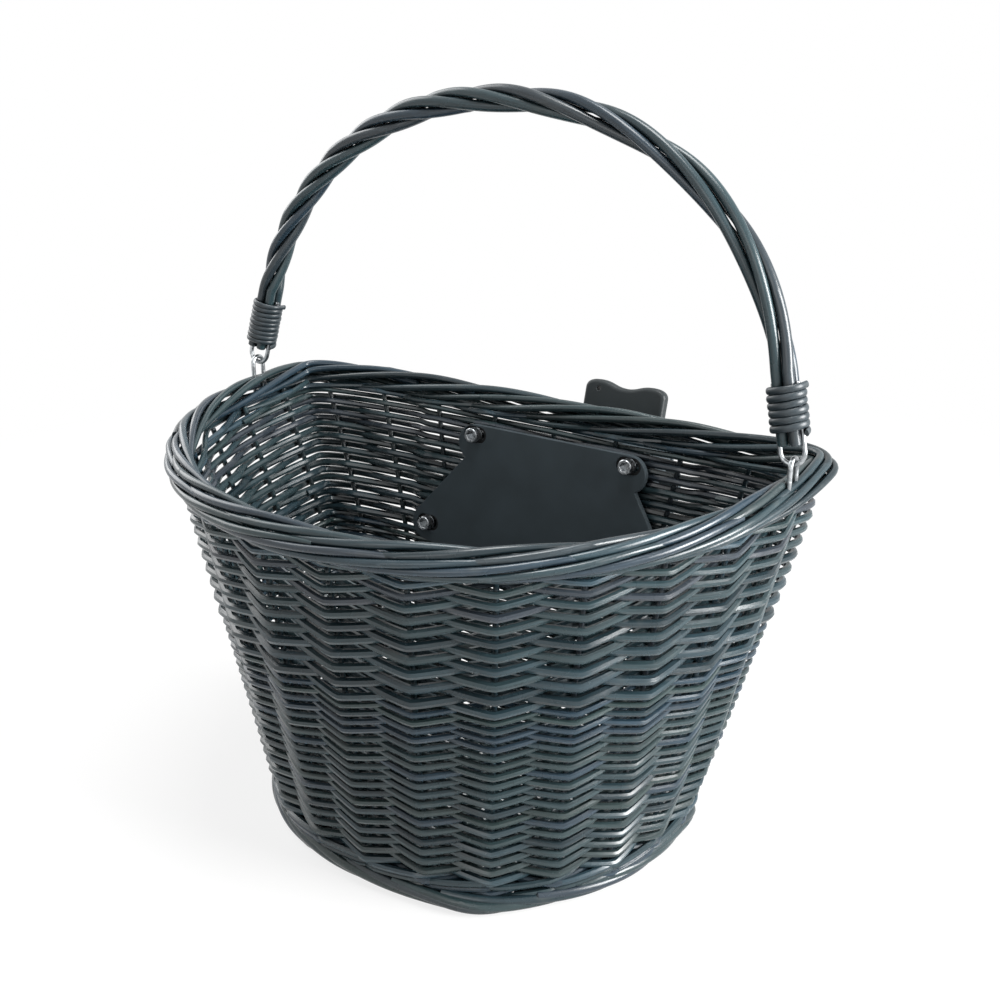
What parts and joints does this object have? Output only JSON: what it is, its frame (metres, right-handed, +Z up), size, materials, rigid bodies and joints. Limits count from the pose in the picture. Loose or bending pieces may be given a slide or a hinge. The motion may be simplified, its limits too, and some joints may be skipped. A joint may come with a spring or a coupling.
{
  "type": "bicycle basket",
  "caption": "Tapered D-shaped woven willow handlebar basket with a rolled rim, a twisted carrying handle on wire loops and a quick-release bar bracket behind its straight back.",
  "frame": {"origin": "on the surface that the basket stands on, in the middle of the whole object's width and front-to-back length", "axes": "+Z up, +Y towards the handlebar, -Y to the rounded front, +X along the straight back"},
  "size_m": [0.3567, 0.3044, 0.3967],
  "materials": {
    "painted_willow": "dark slate paint, satin",
    "binding_cane": "dark slate paint, satin",
    "galvanised_wire": "galvanised, semi-bright",
    "zinc_steel": "zinc plated",
    "black_nylon": "moulded, matt",
    "lever_nylon": "moulded, worn satin edges"
  },
  "bodies": {
    "basket": {"woven_wall": "painted_willow", "rim_border": "painted_willow", "foot_border": "painted_willow", "woven_floor": "painted_willow", "rim_eye_left": "galvanised_wire", "rim_eye_right": "galvanised_wire", "bolt_upper_left": "zinc_steel", "bolt_upper_right": "zinc_steel", "bolt_lower_left": "zinc_steel", "bolt_lower_right": "zinc_steel", "washer_upper_left": "zinc_steel", "washer_upper_right": "zinc_steel", "washer_lower_left": "zinc_steel", "washer_lower_right": "zinc_steel", "nut_upper_left": "zinc_steel", "nut_upper_right": "zinc_steel", "nut_lower_left": "zinc_steel", "nut_lower_right": "zinc_steel", "clamp_screw_left_upper": "zinc_steel", "clamp_screw_left_lower": "zinc_steel", "clamp_screw_right_upper": "zinc_steel", "clamp_screw_right_lower": "zinc_steel", "lever_pin": "zinc_steel", "lever_spring": "zinc_steel", "inner_plate": "black_nylon", "bracket_rail": "black_nylon", "bar_adapter": "black_nylon", "clamp_cap_left": "black_nylon", "clamp_cap_right": "black_nylon"},
    "handle": {"handle_rod_1": "painted_willow", "handle_rod_2": "painted_willow", "handle_rod_3": "painted_willow", "handle_rod_4": "painted_willow", "wire_loop_left": "galvanised_wire", "wire_loop_right": "galvanised_wire", "binding_left": "binding_cane", "binding_right": "binding_cane"},
    "lever": {"release_lever": "lever_nylon"}
  },
  "joints": [
    {"name": "handle_swing", "type": "hinge", "parent": "basket", "child": "handle", "pos_m": [0, 0.02152, 0.2295], "axis": [1, 0, 0], "range_deg": [-73, 87]},
    {"name": "lever_release", "type": "hinge", "parent": "basket", "child": "lever", "pos_m": [0.024, 0.09613, 0.18235], "axis": [1, 0, 0], "range_deg": [0, 10], "stiffness_Nm_per_rad": 0.8, "springref_deg": -5.73, "deforming": ["lever_spring"]}
  ]
}
